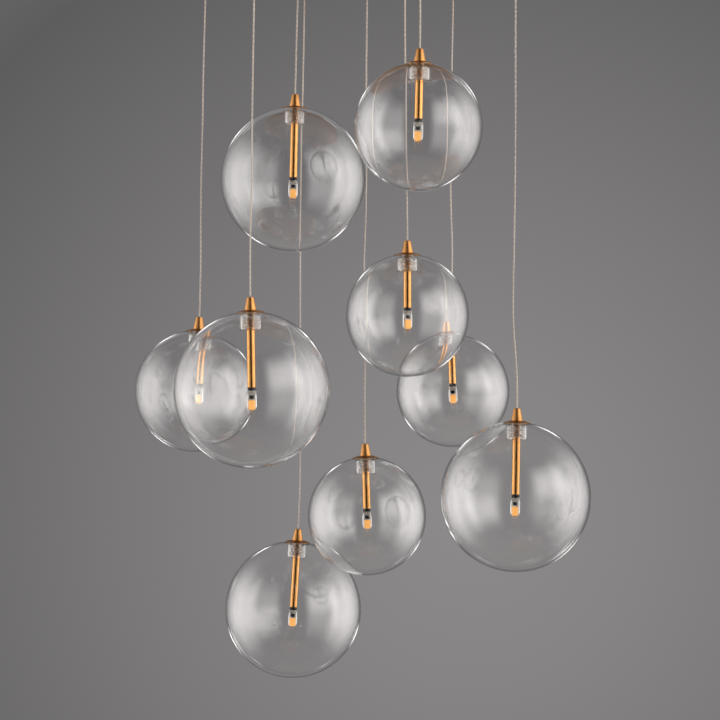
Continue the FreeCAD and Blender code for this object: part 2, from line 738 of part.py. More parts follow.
def make_pendants():
    cone, grub, holder, lamp = make_cone(), make_grub_screw(), make_holder(), make_lamp()
    reaches = {"large": s.large_stem_reach, "small": s.small_stem_reach}
    parts = {}
    for kind, diameter in (("large", s.large_globe_diameter), ("small", s.small_globe_diameter)):
        radius = diameter / 2
        foot = -pole_drop - reaches[kind]
        parts[kind] = SimpleNamespace(
            disc=make_disc(kind, radius),
            plug=make_plug(kind, radius),
            globe=make_globe(kind, radius),
            stem=make_stem(kind, reaches[kind]),
            holder=place(group(f"{kind}_holder", [holder]), z=foot),
            lamp_top=foot - s.holder_show - s.lamp_gap,
        )
    for number, (kind, _) in PENDANTS.items():
        mine = parts[kind]
        lamp_turn = getattr(s, f"lamp_turn_{number}")
        hang(number, f"cap_{number}", [cone, mine.disc, grub], turn=getattr(s, f"cap_turn_{number}"))
        hang(number, f"plug_{number}", [mine.plug])
        hang(number, f"globe_{number}", [mine.globe])
        hang(number, f"stem_{number}", [mine.stem, mine.holder], turn=lamp_turn)
        hang(number, f"lamp_{number}", lamp, below=mine.lamp_top, turn=lamp_turn)


# ---- cords ----

def route_wire(points):
    """Straight runs joined by arcs, and the radii of those arcs."""
    edges, radii = [], []
    start = points[0]
    for before, point, after in zip(points, points[1:], points[2:]):
        arriving, leaving = point - before, after - point
        turn = arriving.getAngle(leaving)
        back = ARC_SHARE * min(arriving.Length, leaving.Length)
        radii.append(back / math.tan(turn / 2))
        arriving.normalize()
        leaving.normalize()
        first, last = point - arriving * back, point + leaving * back
        inward = leaving - arriving
        inward.normalize()
        middle = point + inward * (radii[-1] / math.cos(turn / 2) - radii[-1])
        edges += [Part.LineSegment(start, first).toShape(), Part.Arc(first, middle, last).toShape()]
        start = last
    edges.append(Part.LineSegment(start, points[-1]).toShape())
    return Part.Wire(edges), radii


def make_cords():
    """Each cord is a plain tube along its route."""
    radius = float(sheet.get("cord_radius"))
    for number, route in ROUTES.items():
        points = [FreeCAD.Vector(*point) for point in route]
        wire, radii = route_wire(points)
        section = Part.Wire([Part.Circle(points[0], points[1] - points[0], radius).toShape()])
        tube = wire.makePipeShell([section], True, False)
        cord = doc.addObject("Part::Feature", f"cord_{number}")
        cord.Shape = tube
        cord.Label = f"cord_{number}"
        nodes.append(cord)
        expected = math.pi * radius * radius * wire.Length
        print(f"cord_{number}: length {wire.Length:.1f}, volume {tube.Volume:.1f} of {expected:.1f},"
              f" radii {', '.join(f'{r:.0f}' for r in radii)}")


make_canopy_pan()
make_ceiling_bracket()
make_cord_grips()
make_canopy_screws()
make_led_driver()
make_terminal_block()
make_pendants()
make_cords()
doc.recompute()

failed = [o.Name for o in doc.Objects if {"Invalid", "Error"} & set(o.State)]
if failed:
    raise RuntimeError(f"these objects failed: {failed}")
os.makedirs("parts", exist_ok=True)
for piece in nodes:
    if piece.Shape.isNull() or not piece.Shape.isValid() or not piece.Shape.Solids:
        raise RuntimeError(f"{piece.Label} has no sound solid")
    piece.Shape.exportStep(f"parts/{piece.Label}.step")
print(f"{len(nodes)} nodes, {sum(len(piece.Shape.Solids) for piece in nodes)} solids")
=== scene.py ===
import json
import math

import bmesh
import bpy
from mathutils import Matrix, Vector


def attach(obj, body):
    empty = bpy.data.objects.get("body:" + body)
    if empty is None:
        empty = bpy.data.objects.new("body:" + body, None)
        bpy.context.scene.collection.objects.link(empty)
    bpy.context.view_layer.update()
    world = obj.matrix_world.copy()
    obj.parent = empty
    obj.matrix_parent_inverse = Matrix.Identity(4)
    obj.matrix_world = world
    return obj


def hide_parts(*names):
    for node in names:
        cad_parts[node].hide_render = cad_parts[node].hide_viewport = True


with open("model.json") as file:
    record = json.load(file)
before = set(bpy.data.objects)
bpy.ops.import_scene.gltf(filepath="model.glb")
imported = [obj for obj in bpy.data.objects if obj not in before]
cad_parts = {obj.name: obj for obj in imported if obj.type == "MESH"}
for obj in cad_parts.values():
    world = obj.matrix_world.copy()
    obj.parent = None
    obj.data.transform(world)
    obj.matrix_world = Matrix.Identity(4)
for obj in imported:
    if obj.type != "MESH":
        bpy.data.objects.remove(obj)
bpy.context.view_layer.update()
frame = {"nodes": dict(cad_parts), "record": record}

MM = 0.001

# ---- Camera ----
# A long lens about two metres off, level with the middle of the cluster. The horizon lies a little above the
# picture's middle, so the frame is shifted, and the camera is rolled by the lean that the photograph shows.
LENS_MM = 100.0
SENSOR_MM = 36.0
PICTURE_PIXELS = 720
HORIZON_ROW = 330.0
CAMERA_PLACE = Vector((0.005, -2.059, -0.427))
CAMERA_ROLL = 0.0079

camera_data = bpy.data.cameras.new("camera")
camera_data.lens = LENS_MM
camera_data.sensor_width = SENSOR_MM
camera_data.shift_y = (HORIZON_ROW - PICTURE_PIXELS / 2) / PICTURE_PIXELS
camera_data.clip_start = 0.05
camera = bpy.data.objects.new("camera", camera_data)
bpy.context.collection.objects.link(camera)
level = Matrix.Translation(CAMERA_PLACE) @ Matrix.Rotation(math.radians(90), 4, "X")
camera.matrix_world = level @ Matrix.Rotation(CAMERA_ROLL, 4, "Z")
bpy.context.scene.camera = camera

# ---- Cords ----
# Two fine tinned wires side by side in a clear sheath, 1.5 mm thick over all. Each leaves the bell mouth of
# its grip and goes down into the top of its cone, and the weight of the globe pulls it nearly straight.
CORD_DIAMETER = 1.5 * MM
ROUTES = {
    1: ((-0.0615, 0.013, -0.038), (-0.0618, 0.0132, -0.076), (-0.063, 0.0128, -0.118),
        (-0.06365, 0.013, -0.1615), (-0.06409, 0.013, -0.1895)),
    2: ((0.06, -0.121, -0.038), (0.0603, -0.1212, -0.082), (0.06135, -0.121, -0.129),
        (0.06092, -0.121, -0.16)),
    3: ((0.0476, -0.03, -0.038), (0.048, -0.0303, -0.1), (0.0492, -0.0298, -0.18), (0.0502, -0.0302, -0.262),
        (0.0521, -0.03, -0.304), (0.05245, -0.03, -0.342)),
    4: ((0.1053, 0.153, -0.038), (0.1048, 0.1534, -0.11), (0.1035, 0.1528, -0.19), (0.1037, 0.1532, -0.275),
        (0.1073, 0.153, -0.35), (0.10395, 0.153, -0.3935), (0.10526, 0.153, -0.4235)),
    5: ((-0.098, -0.153, -0.038), (-0.0983, -0.1534, -0.112), (-0.0992, -0.1527, -0.196),
        (-0.0994, -0.1532, -0.284), (-0.10054, -0.153, -0.3565), (-0.09957, -0.153, -0.4025)),
    6: ((-0.1552, -0.01, -0.038), (-0.1559, -0.0103, -0.092), (-0.1576, -0.0098, -0.158),
        (-0.1577, -0.0102, -0.214), (-0.1592, -0.0099, -0.29), (-0.15843, -0.01, -0.383),
        (-0.15982, -0.01, -0.421)),
    7: ((0.0101, 0.05, -0.038), (0.0092, 0.0504, -0.142), (0.0105, 0.0497, -0.224), (0.0103, 0.0502, -0.302),
        (0.0085, 0.05, -0.362), (0.011, 0.0498, -0.432), (0.01024, 0.05, -0.512), (0.0116, 0.05, -0.553)),
    8: ((0.1576, -0.06, -0.038), (0.158, -0.0604, -0.13), (0.1589, -0.0597, -0.232),
        (0.1586, -0.0602, -0.332), (0.1573, -0.06, -0.412), (0.1612, -0.0598, -0.456),
        (0.16281, -0.06, -0.484), (0.16254, -0.06, -0.51)),
    9: ((-0.0588, 0.147, -0.038), (-0.0595, 0.1474, -0.128), (-0.0612, 0.1467, -0.226),
        (-0.0616, 0.1473, -0.33), (-0.0607, 0.1468, -0.436), (-0.0599, 0.1472, -0.53),
        (-0.05951, 0.147, -0.609), (-0.06181, 0.147, -0.653)),
}


def srgb(code):
    """The linear colour, with alpha, of an sRGB hex code."""
    parts = [int(code[i:i + 2], 16) / 255 for i in (1, 3, 5)]
    return (*[p / 12.92 if p <= 0.04045 else ((p + 0.055) / 1.055) ** 2.4 for p in parts], 1.0)


def add_node(tree, kind, inputs=None, **settings):
    """Adds one node. Its inputs are plain values, or sockets that feed them."""
    made = tree.nodes.new("ShaderNode" + kind)
    for name, value in settings.items():
        setattr(made, name, value)
    for name, value in (inputs or {}).items():
        if isinstance(value, bpy.types.NodeSocket):
            tree.links.new(value, made.inputs[name])
        else:
            made.inputs[name].default_value = value
    return made


def new_material(name):
    """A bare material: its node tree and its Principled shader."""
    material = bpy.data.materials.new(name)
    material.use_nodes = True
    return material, material.node_tree, material.node_tree.nodes["Principled BSDF"]


# Clear flexible PVC over tinned copper: warm and pale, with a gloss over it. The two wires are twisted once
# in each WIRE_TWIST, which shows as faint darker bands. At a scale of 1 the wave texture repeats in
# WAVE_REPEAT.
WIRE_TWIST = 5.0 * MM
WAVE_REPEAT = 0.314
sheath, tree, shader = new_material("clear_pvc_over_tinned_copper")
where = add_node(tree, "TexCoord")
twist = add_node(tree, "TexWave", {"Vector": where.outputs["Object"], "Scale": WAVE_REPEAT / WIRE_TWIST,
                                   "Distortion": 0.6}, bands_direction="Z", wave_profile="SIN")
wires = add_node(tree, "ValToRGB", {"Fac": twist.outputs["Fac"]})
wires.color_ramp.elements[0].color = srgb("#B4A596")
wires.color_ramp.elements[1].color = srgb("#C8BAAC")
tree.links.new(wires.outputs["Color"], shader.inputs["Base Color"])
shader.inputs["Roughness"].default_value = 0.3
shader.inputs["IOR"].default_value = 1.53
shader.inputs["Coat Weight"].default_value = 0.8
shader.inputs["Coat Roughness"].default_value = 0.08

for number, route in ROUTES.items():
    curve = bpy.data.curves.new(f"cord_line_{number}", "CURVE")
    curve.dimensions = "3D"
    curve.resolution_u = 24
    curve.bevel_depth = CORD_DIAMETER / 2
    curve.bevel_resolution = 4
    curve.use_fill_caps = True
    spline = curve.splines.new("NURBS")
    spline.points.add(len(route) - 1)
    for point, place in zip(spline.points, route):
        point.co = (*place, 1.0)
    spline.order_u = 3
    spline.use_endpoint_u = True
    cord = bpy.data.objects.new(f"sheathed_cord_{number}", curve)
    bpy.context.collection.objects.link(cord)
    curve.materials.append(sheath)
    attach(cord, f"cord_{number}")
    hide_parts(f"cord_{number}")

# ---- Globes ----
# Clear soda-lime glass, blown into a round mould, with the neck turned in and fire polished. Two sizes share
# one neck, so that one cap fits both.
LARGE, SMALL = (1, 5, 8, 9), (2, 3, 4, 6, 7)
GLOBE_RADIUS = {"large": 75.0, "small": 62.5}
GLASS_WALL = 2.0
NECK_BORE = 8.9
NECK_WALL = 1.75
NECK_DEPTH = 17.0
LIP = 1.0
NECK_ROOT = 1.5
POLE_DROP = 13.5
SPHERE_STEPS = 72
BEND_STEPS = 8
ROOT_STEPS = 6
NECK_STEPS = 6
ROUND_STEPS = 128


def bend(centre_r, centre_z, radius, start, end, steps):
    """Points along an arc, its angles in degrees."""
    angles = [math.radians(start + (end - start) * i / steps) for i in range(steps + 1)]
    return [(centre_r + radius * math.cos(a), centre_z + radius * math.sin(a)) for a in angles]


def lathe(name, profile, steps=ROUND_STEPS, sharp=35.0):
    """A mesh turned about Z from a closed profile of (radius, height) points in millimetres."""
    verts, rings, faces = [], [], []
    for r, z in profile:
        on_axis = r < 1e-4
        rings.append([len(verts)] if on_axis else list(range(len(verts), len(verts) + steps)))
        for i in range(1 if on_axis else steps):
            a = 2 * math.pi * i / steps
            verts.append((r * MM * math.cos(a), r * MM * math.sin(a), z * MM))
    for ring, above in zip(rings, rings[1:] + rings[:1]):
        if len(ring) == 1 and len(above) == 1:
            continue
        for i in range(steps):
            j = (i + 1) % steps
            corners = [ring[i % len(ring)], ring[j % len(ring)], above[j % len(above)], above[i % len(above)]]
            faces.append(list(dict.fromkeys(corners)))
    mesh = bpy.data.meshes.new(name)
    mesh.from_pydata(verts, [], faces)
    finish_mesh(mesh, sharp)
    return mesh


def finish_mesh(mesh, sharp):
    """Turns the faces outwards and shades them smooth, apart from edges over sharp degrees."""
    work = bmesh.new()
    work.from_mesh(mesh)
    bmesh.ops.recalc_face_normals(work, faces=work.faces)
    work.to_mesh(mesh)
    work.free()
    mesh.shade_smooth()
    mesh.set_sharp_from_angle(angle=math.radians(sharp))


def pendant_frame(number, turn=0.0):
    """The frame of one pendant: from the top of its cone down its own axis, turned about that axis."""
    joint = next(j for j in frame["record"]["behaviour"]["joints"] if j["name"] == f"twist_{number}")
    down = Vector(joint["axis"]).normalized()
    lean = math.atan2(down.x, -down.z)
    return (Matrix.Translation(Vector(joint["pos_m"])) @ Matrix.Rotation(-lean, 4, "Y")
            @ Matrix.Rotation(math.radians(turn), 4, "Z"))


def put(name, mesh, material, body, nodes, matrix, drop=0.0):
    """Places one piece, drop millimetres down its own axis, and says what it rides on and stands for."""
    piece = bpy.data.objects.new(name, mesh)
    bpy.context.collection.objects.link(piece)
    if not mesh.materials:
        mesh.materials.append(material)
    piece.matrix_world = matrix @ Matrix.Translation((0, 0, -drop * MM))
    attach(piece, body)
    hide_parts(*nodes)


def globe_profile(radius):
    """Up the neck's bore, round the lip, down the outside of the sphere, and back up the inside."""
    inside = radius - GLASS_WALL
    lip_top = math.sqrt(radius ** 2 - (NECK_BORE + LIP) ** 2)
    neck_outside = NECK_BORE + NECK_WALL
    root_r = neck_outside + NECK_ROOT
    root_top = math.sqrt(inside ** 2 - root_r ** 2)
    end = radius - NECK_DEPTH
    outer_start = math.degrees(math.atan2(lip_top, NECK_BORE + LIP))
    inner_end = math.degrees(math.atan2(root_top, root_r))
    profile = bend((NECK_BORE + neck_outside) / 2, end, NECK_WALL / 2, 0, -180, BEND_STEPS)
    profile += [(NECK_BORE, end + (lip_top - LIP - end) * i / NECK_STEPS) for i in range(1, NECK_STEPS)]
    profile += bend(NECK_BORE + LIP, lip_top - LIP, LIP, 180, 180 - outer_start, BEND_STEPS)[:-1]
    profile += bend(0, 0, radius, outer_start, -90, SPHERE_STEPS)
    profile += bend(0, 0, inside, -90, inner_end, SPHERE_STEPS)
    root_end = root_top - NECK_ROOT
    profile += bend(root_r, root_end, NECK_ROOT, 90, 180, ROOT_STEPS)[1:]
    profile += [(neck_outside, root_end + (end - root_end) * i / NECK_STEPS) for i in range(1, NECK_STEPS)]
    return [(max(r, 0.0), z) for r, z in profile]


# Soda-lime glass has an IOR of 1.5 and next to no colour. A blown wall isn't quite even, so it has a faint
# slow ripple, drawn out down the sphere, that pulls the reflections into soft streaks.
RIPPLE_WIDTH = 26.0 * MM
glass, tree, shader = new_material("blown_soda_lime_glass")
shader.inputs["Base Color"].default_value = srgb("#FFFFFF")
shader.inputs["Roughness"].default_value = 0.0
shader.inputs["IOR"].default_value = 1.5
shader.inputs["Transmission Weight"].default_value = 1.0
where = add_node(tree, "TexCoord")
drawn = add_node(tree, "Mapping", {"Vector": where.outputs["Object"], "Scale": (1.0, 1.0, 0.3)})
ripple = add_node(tree, "TexNoise", {"Vector": drawn.outputs["Vector"], "Scale": 1 / RIPPLE_WIDTH,
                                     "Detail": 2.0})
wavy = add_node(tree, "Bump", {"Height": ripple.outputs["Fac"], "Strength": 0.05, "Distance": 1.0 * MM})
tree.links.new(wavy.outputs["Normal"], shader.inputs["Normal"])

globe_meshes = {size: lathe(f"{size}_globe", globe_profile(radius)) for size, radius in GLOBE_RADIUS.items()}
sizes = {number: "large" if number in LARGE else "small" for number in LARGE + SMALL}
for number, size in sizes.items():
    put(f"blown_globe_{number}", globe_meshes[size], glass, f"pendant_{number}",
        [f"globe_{number}"], pendant_frame(number), POLE_DROP + GLOBE_RADIUS[size])

# ---- Caps ----
# A turned brass cone on a thin dished disc, both brushed and then plated a warm gold. A dark steel grub screw
# near the top of the cone pinches the cord.
CONE_TOP, CONE_BASE, CONE_HEIGHT = 3.5, 5.9, 12.3
CORD_BORE, CORD_SEAT, WIRE_BORE = 0.95, 6.4, 0.7
STEM_BORE, SOCKET = 4.1, 4.7
DISC_RADIUS, DISC_THICKNESS, DISC_RIM, DISC_LIFT = 13.5, 1.0, 0.35, 0.2
CONE_EDGE, BORE_EDGE = 0.4, 0.2
GRUB_DROP, GRUB_RADIUS, GRUB_LENGTH, GRUB_EDGE = 3.5, 1.5, 2.85, 0.2
GRUB_SOCKET, GRUB_SOCKET_MOUTH, GRUB_SOCKET_DEPTH = 0.8, 0.85, 1.3
GRUB_SIDES = 24
TURNED_STEPS = 96
CAP_TURNS = {1: 150.0, 2: 4.0, 3: 32.0, 4: 200.0, 5: -75.0, 6: 120.0, 7: 0.0, 8: 170.0, 9: -14.0}

# Plated brass, brushed round the turned pieces: a metal of warm gold with fine lines about a tenth of a
# millimetre apart, drawn three times coarser here so that they show.
BRUSH_SPACING = 0.3 * MM
ROUGHNESS_SPREAD = 0.12


def plated_brass(name, stretch, dark, light, smoothest):
    """Gold plate over a brushed metal. Stretch sets the lines' way, and smoothest the least roughness."""
    material, tree, shader = new_material(name)
    shader.inputs["Metallic"].default_value = 1.0
    where = add_node(tree, "TexCoord")
    along = add_node(tree, "Mapping", {"Vector": where.outputs["Object"], "Scale": stretch})
    lines = add_node(tree, "TexNoise", {"Vector": along.outputs["Vector"], "Scale": 1 / BRUSH_SPACING,
                                        "Detail": 3.0})
    tone = add_node(tree, "ValToRGB", {"Fac": lines.outputs["Fac"]})
    tone.color_ramp.elements[0].color = srgb(dark)
    tone.color_ramp.elements[0].position = 0.3
    tone.color_ramp.elements[1].color = srgb(light)
    tone.color_ramp.elements[1].position = 0.75
    gloss = add_node(tree, "MapRange", {"Value": lines.outputs["Fac"], "To Min": smoothest,
                                        "To Max": smoothest + ROUGHNESS_SPREAD})
    fine = add_node(tree, "Bump", {"Height": lines.outputs["Fac"], "Strength": 0.08, "Distance": 0.05 * MM})
    tree.links.new(tone.outputs["Color"], shader.inputs["Base Color"])
    tree.links.new(gloss.outputs["Result"], shader.inputs["Roughness"])
    tree.links.new(fine.outputs["Normal"], shader.inputs["Normal"])
    return material


turned_gold = plated_brass("gold_plated_brass_brushed_round", (0.06, 0.06, 1.0), "#A06D39", "#C08F5A", 0.3)
drawn_gold = plated_brass("gold_plated_brass_brushed_along", (1.0, 1.0, 0.03), "#BC8347", "#DAA66A", 0.15)

# Blackened alloy steel: nearly black, half matt, with an oxide that clouds over about a millimetre.
OXIDE_GRAIN = 0.8 * MM
black_steel, tree, shader = new_material("blackened_steel")
where = add_node(tree, "TexCoord")
oxide = add_node(tree, "TexNoise", {"Vector": where.outputs["Object"], "Scale": 1 / OXIDE_GRAIN,
                                    "Detail": 4.0})
tone = add_node(tree, "ValToRGB", {"Fac": oxide.outputs["Fac"]})
tone.color_ramp.elements[0].color = srgb("#1B1814")
tone.color_ramp.elements[1].color = srgb("#3A342C")
tree.links.new(tone.outputs["Color"], shader.inputs["Base Color"])
shader.inputs["Metallic"].default_value = 0.8
shader.inputs["Roughness"].default_value = 0.4


def cone_profile():
    """Down the outside of the cone from its top, and back up its bores."""
    slope = math.degrees(math.atan2(CONE_BASE - CONE_TOP, CONE_HEIGHT))
    top = bend(CONE_TOP - CONE_EDGE, -CONE_EDGE, CONE_EDGE, 90, slope, 5)
    foot = bend(CONE_BASE - CONE_EDGE / 2, CONE_EDGE / 2 - CONE_HEIGHT, CONE_EDGE / 2, slope, -90, 4)
    socket_top = SOCKET - CONE_HEIGHT
    return [
        (CORD_BORE, -BORE_EDGE), (CORD_BORE + BORE_EDGE, 0.0), *top, *foot,
        (STEM_BORE, -CONE_HEIGHT), (STEM_BORE, socket_top), (WIRE_BORE, socket_top),
        (WIRE_BORE, -CORD_SEAT), (CORD_BORE, -CORD_SEAT),
    ]


def disc_profile(radius):
    """In the globe's own frame: the underside follows the glass, and the top falls to a thin rounded rim."""
    under = radius + DISC_LIFT
    flat = under + DISC_THICKNESS
    rim_under = math.sqrt(under ** 2 - DISC_RADIUS ** 2)
    rim_over = rim_under + DISC_RIM
    spread = DISC_RADIUS ** 2 - CONE_BASE ** 2
    over_centre = (flat + rim_over) / 2 - spread / (2 * (flat - rim_over))
    over = math.hypot(CONE_BASE, flat - over_centre)
    soft = DISC_RIM / 2

    def angle(r, sphere):
        return math.degrees(math.acos(r / sphere))

    return [
        *bend(0, 0, under, angle(STEM_BORE, under), angle(DISC_RADIUS - soft, under), 12),
        *bend(DISC_RADIUS - soft, (rim_under + rim_over) / 2, soft, -60, 60, 4),
        *bend(0, over_centre, over, angle(DISC_RADIUS - soft, over), angle(CONE_BASE, over), 10),
        (STEM_BORE, flat),
    ]


def grub_mesh():
    """A headless screw along Z with a hexagon socket in its top end."""
    mesh = bpy.data.meshes.new("grub_screw")
    work = bmesh.new()
    outside = [(GRUB_RADIUS - GRUB_EDGE, 0.0), (GRUB_RADIUS, GRUB_EDGE),
               (GRUB_RADIUS, GRUB_LENGTH - GRUB_EDGE), (GRUB_RADIUS - GRUB_EDGE, GRUB_LENGTH)]
    socket = [(GRUB_SOCKET_MOUTH, GRUB_LENGTH), (GRUB_SOCKET, GRUB_LENGTH - GRUB_SOCKET_DEPTH)]
    rings = []
    for radius, height in outside + socket:
        ring = []
        for i in range(GRUB_SIDES):
            a = 2 * math.pi * i / GRUB_SIDES
            r = radius
            if (radius, height) in socket:
                r = radius * math.cos(math.pi / 6) / math.cos((a % (math.pi / 3)) - math.pi / 6)
            ring.append(work.verts.new((r * MM * math.cos(a), r * MM * math.sin(a), height * MM)))
        rings.append(ring)
    for ring, above in zip(rings, rings[1:]):
        for i in range(GRUB_SIDES):
            j = (i + 1) % GRUB_SIDES
            work.faces.new((ring[i], ring[j], above[j], above[i]))
    work.faces.new(rings[0][::-1])
    work.faces.new(rings[-1])
    work.to_mesh(mesh)
    work.free()
    finish_mesh(mesh, 30.0)
    return mesh


cone_mesh = lathe("cone", cone_profile(), TURNED_STEPS)
disc_meshes = {
    size: lathe(f"{size}_disc", disc_profile(radius), TURNED_STEPS) for size, radius in GLOBE_RADIUS.items()
}
screw_mesh = grub_mesh()
for number, size in sizes.items():
    at = pendant_frame(number, CAP_TURNS[number])
    body, node = f"pendant_{number}", [f"cap_{number}"]
    put(f"cone_cap_{number}", cone_mesh, turned_gold, body, node, at)
    put(f"dished_disc_{number}", disc_meshes[size], turned_gold, body, node, at,
        POLE_DROP + GLOBE_RADIUS[size])
    seat = at @ Matrix.Translation((0, -CORD_BORE * MM, -GRUB_DROP * MM))
    seat = seat @ Matrix.Rotation(math.radians(90), 4, "X")
    put(f"grub_screw_{number}", screw_mesh, black_steel, body, node, seat)

# ---- Plugs ----
# A clear moulded bung, squeezed between the stem and the glass neck, with five rounded ribs that grip the
# glass.
PLUG_LENGTH, PLUG_DROP, PLUG_EDGE = 15.0, 0.5, 0.3
PLUG_ROOT, PLUG_RIB, RIB_WIDTH, RIBS, RIB_STEPS = 7.9, 8.65, 2.0, 5, 10

# Moulded silicone rubber is clear with a milky haze. It looks white towards its sides, where the eye looks
# along more of it, and lets the stem show in its middle. The cloudiness changes over a millimetre or two.
CLOUD_GRAIN = 1.5 * MM
plug_clear, tree, shader = new_material("clear_moulded_silicone")
# Its warm white is partly the silicone's own tint and partly a painted reflection of the gold stem, and the
# warm sheen tint is that painted reflection too.
shader.inputs["Base Color"].default_value = srgb("#FFF6EA")
shader.inputs["IOR"].default_value = 1.43
shader.inputs["Specular IOR Level"].default_value = 1.0
shader.inputs["Sheen Weight"].default_value = 1.0
shader.inputs["Sheen Roughness"].default_value = 0.3
shader.inputs["Sheen Tint"].default_value = srgb("#FFDDB4")
side_on = add_node(tree, "LayerWeight", {"Blend": 0.5})
haze = add_node(tree, "MapRange", {"Value": side_on.outputs["Facing"], "From Min": 0.02, "From Max": 0.12,
                                   "To Min": 0.95, "To Max": 0.62})
tree.links.new(haze.outputs["Result"], shader.inputs["Transmission Weight"])
where = add_node(tree, "TexCoord")
frost = add_node(tree, "TexNoise", {"Vector": where.outputs["Object"], "Scale": 1 / CLOUD_GRAIN,
                                    "Detail": 3.0})
cloud = add_node(tree, "MapRange", {"Value": frost.outputs["Fac"], "To Min": 0.02, "To Max": 0.1})
tree.links.new(cloud.outputs["Result"], shader.inputs["Roughness"])


def plug_profile(radius):
    """In the globe's own frame: up the bore and down over the ribs."""
    top = radius - PLUG_DROP
    foot = top - PLUG_LENGTH
    profile = [(STEM_BORE, foot), (STEM_BORE, top), (PLUG_ROOT - PLUG_EDGE, top),
               (PLUG_ROOT, top - PLUG_EDGE)]
    for rib in range(RIBS):
        middle = top - (rib + 0.5) * PLUG_LENGTH / RIBS
        for i in range(RIB_STEPS + 1):
            across = 1 - 2 * i / RIB_STEPS
            bulge = (PLUG_RIB - PLUG_ROOT) * math.sqrt(max(0.0, 1 - across * across))
            profile.append((PLUG_ROOT + bulge, middle + across * RIB_WIDTH / 2))
    return profile + [(PLUG_ROOT, foot + PLUG_EDGE), (PLUG_ROOT - PLUG_EDGE, foot)]


plug_meshes = {
    size: lathe(f"{size}_plug", plug_profile(radius), TURNED_STEPS) for size, radius in GLOBE_RADIUS.items()
}
for number, size in sizes.items():
    put(f"ribbed_plug_{number}", plug_meshes[size], plug_clear, f"pendant_{number}",
        [f"plug_{number}"], pendant_frame(number), POLE_DROP + GLOBE_RADIUS[size])

# ---- Stems and lamp holders ----
# A drawn brass tube in the same gold plate runs from the cone down to the lamp. A black ceramic lamp holder
# is pushed into its foot, and only a low ring of it shows.
STEM_RADIUS, STEM_WALL = 4.05, 0.8
STEM_REACH = {"large": 72.5, "small": 54.5}
STEM_TOP, STEM_EDGE = 7.8, 0.2
HOLDER_RADIUS, HOLDER_SHOW, HOLDER_SEAT = 3.9, 3.0, 8.5
HOLDER_EDGE, HOLDER_PLAY = 0.3, 0.05
LAMP_TURNS = {1: 15.0, 2: -20.0, 3: 30.0, 4: -10.0, 5: 8.0, 6: -30.0, 7: 12.0, 8: -15.0, 9: 0.0}

# Black steatite: a fine fired grain, matt with a low sheen.
FIRED_GRAIN = 0.4 * MM
steatite, tree, shader = new_material("black_steatite")
where = add_node(tree, "TexCoord")
grain = add_node(tree, "TexNoise", {"Vector": where.outputs["Object"], "Scale": 1 / FIRED_GRAIN,
                                    "Detail": 5.0})
tone = add_node(tree, "ValToRGB", {"Fac": grain.outputs["Fac"]})
tone.color_ramp.elements[0].color = srgb("#0E0D0D")
tone.color_ramp.elements[1].color = srgb("#2A2827")
tree.links.new(tone.outputs["Color"], shader.inputs["Base Color"])
shader.inputs["Roughness"].default_value = 0.45

stem_meshes = {}
for size, reach in STEM_REACH.items():
    foot, inside = -POLE_DROP - reach, STEM_RADIUS - STEM_WALL
    stem_meshes[size] = lathe(f"{size}_stem", [
        (inside, foot + STEM_EDGE), (inside + STEM_EDGE, foot), (STEM_RADIUS - STEM_EDGE, foot),
        (STEM_RADIUS, foot + STEM_EDGE), (STEM_RADIUS, -STEM_TOP), (inside, -STEM_TOP),
    ], TURNED_STEPS)
spigot = STEM_RADIUS - STEM_WALL - HOLDER_PLAY
holder_mesh = lathe("holder", [
    (0.0, -HOLDER_SHOW), (HOLDER_RADIUS - HOLDER_EDGE, -HOLDER_SHOW),
    (HOLDER_RADIUS, HOLDER_EDGE - HOLDER_SHOW), (HOLDER_RADIUS, 0.0), (spigot, 0.0),
    (spigot, HOLDER_SEAT), (0.0, HOLDER_SEAT),
], 64)
for number, size in sizes.items():
    at = pendant_frame(number, LAMP_TURNS[number])
    body, node = f"pendant_{number}", [f"stem_{number}"]
    put(f"stem_tube_{number}", stem_meshes[size], drawn_gold, body, node, at)
    put(f"lamp_holder_{number}", holder_mesh, steatite, body, node, at,
        POLE_DROP + STEM_REACH[size])

# ---- Lamps ----
# A two-pin capsule lamp: clear silicone cast solid round a slim board, with a pip at its foot. The board has
# its electronics on the upper part and a bar of orange phosphor over the chips on the lower part.
LAMP_GAP, LAMP_RADIUS, LAMP_LENGTH, LAMP_WALL, LAMP_EDGE = 0.3, 4.75, 21.0, 0.8, 0.25
TIP_RADIUS, TIP_LENGTH, TIP_END = 1.3, 1.9, 0.7
PIN_SPACING, PIN_RADIUS, PIN_LENGTH, PIN_TIP = 4.0, 0.35, 7.0, 0.15
BASE_LENGTH, BASE_EDGE = 2.0, 0.3
BOARD = (5.6, 1.0, 15.0)
PHOSPHOR = (5.2, 2.4, 8.0)
CHIP = (3.6, 2.2, 3.2)
CHIP_DROP = 4.4
RESISTOR = (1.1, 1.8, 0.7)
RESISTOR_PLACE, RESISTOR_DROP = 1.9, 2.9

# Cast optical silicone, clear and glossy, which magnifies the board across. Its skin waves a little over a
# few millimetres.
SKIN_WAVE = 4.0 * MM
capsule, tree, shader = new_material("clear_cast_silicone")
shader.inputs["Base Color"].default_value = srgb("#FBFBF9")
shader.inputs["Roughness"].default_value = 0.02
shader.inputs["IOR"].default_value = 1.41
shader.inputs["Transmission Weight"].default_value = 1.0
where = add_node(tree, "TexCoord")
pressed = add_node(tree, "TexNoise", {"Vector": where.outputs["Object"], "Scale": 1 / SKIN_WAVE,
                                      "Detail": 1.0})
wavy = add_node(tree, "Bump", {"Height": pressed.outputs["Fac"], "Strength": 0.15, "Distance": 0.3 * MM})
tree.links.new(wavy.outputs["Normal"], shader.inputs["Normal"])


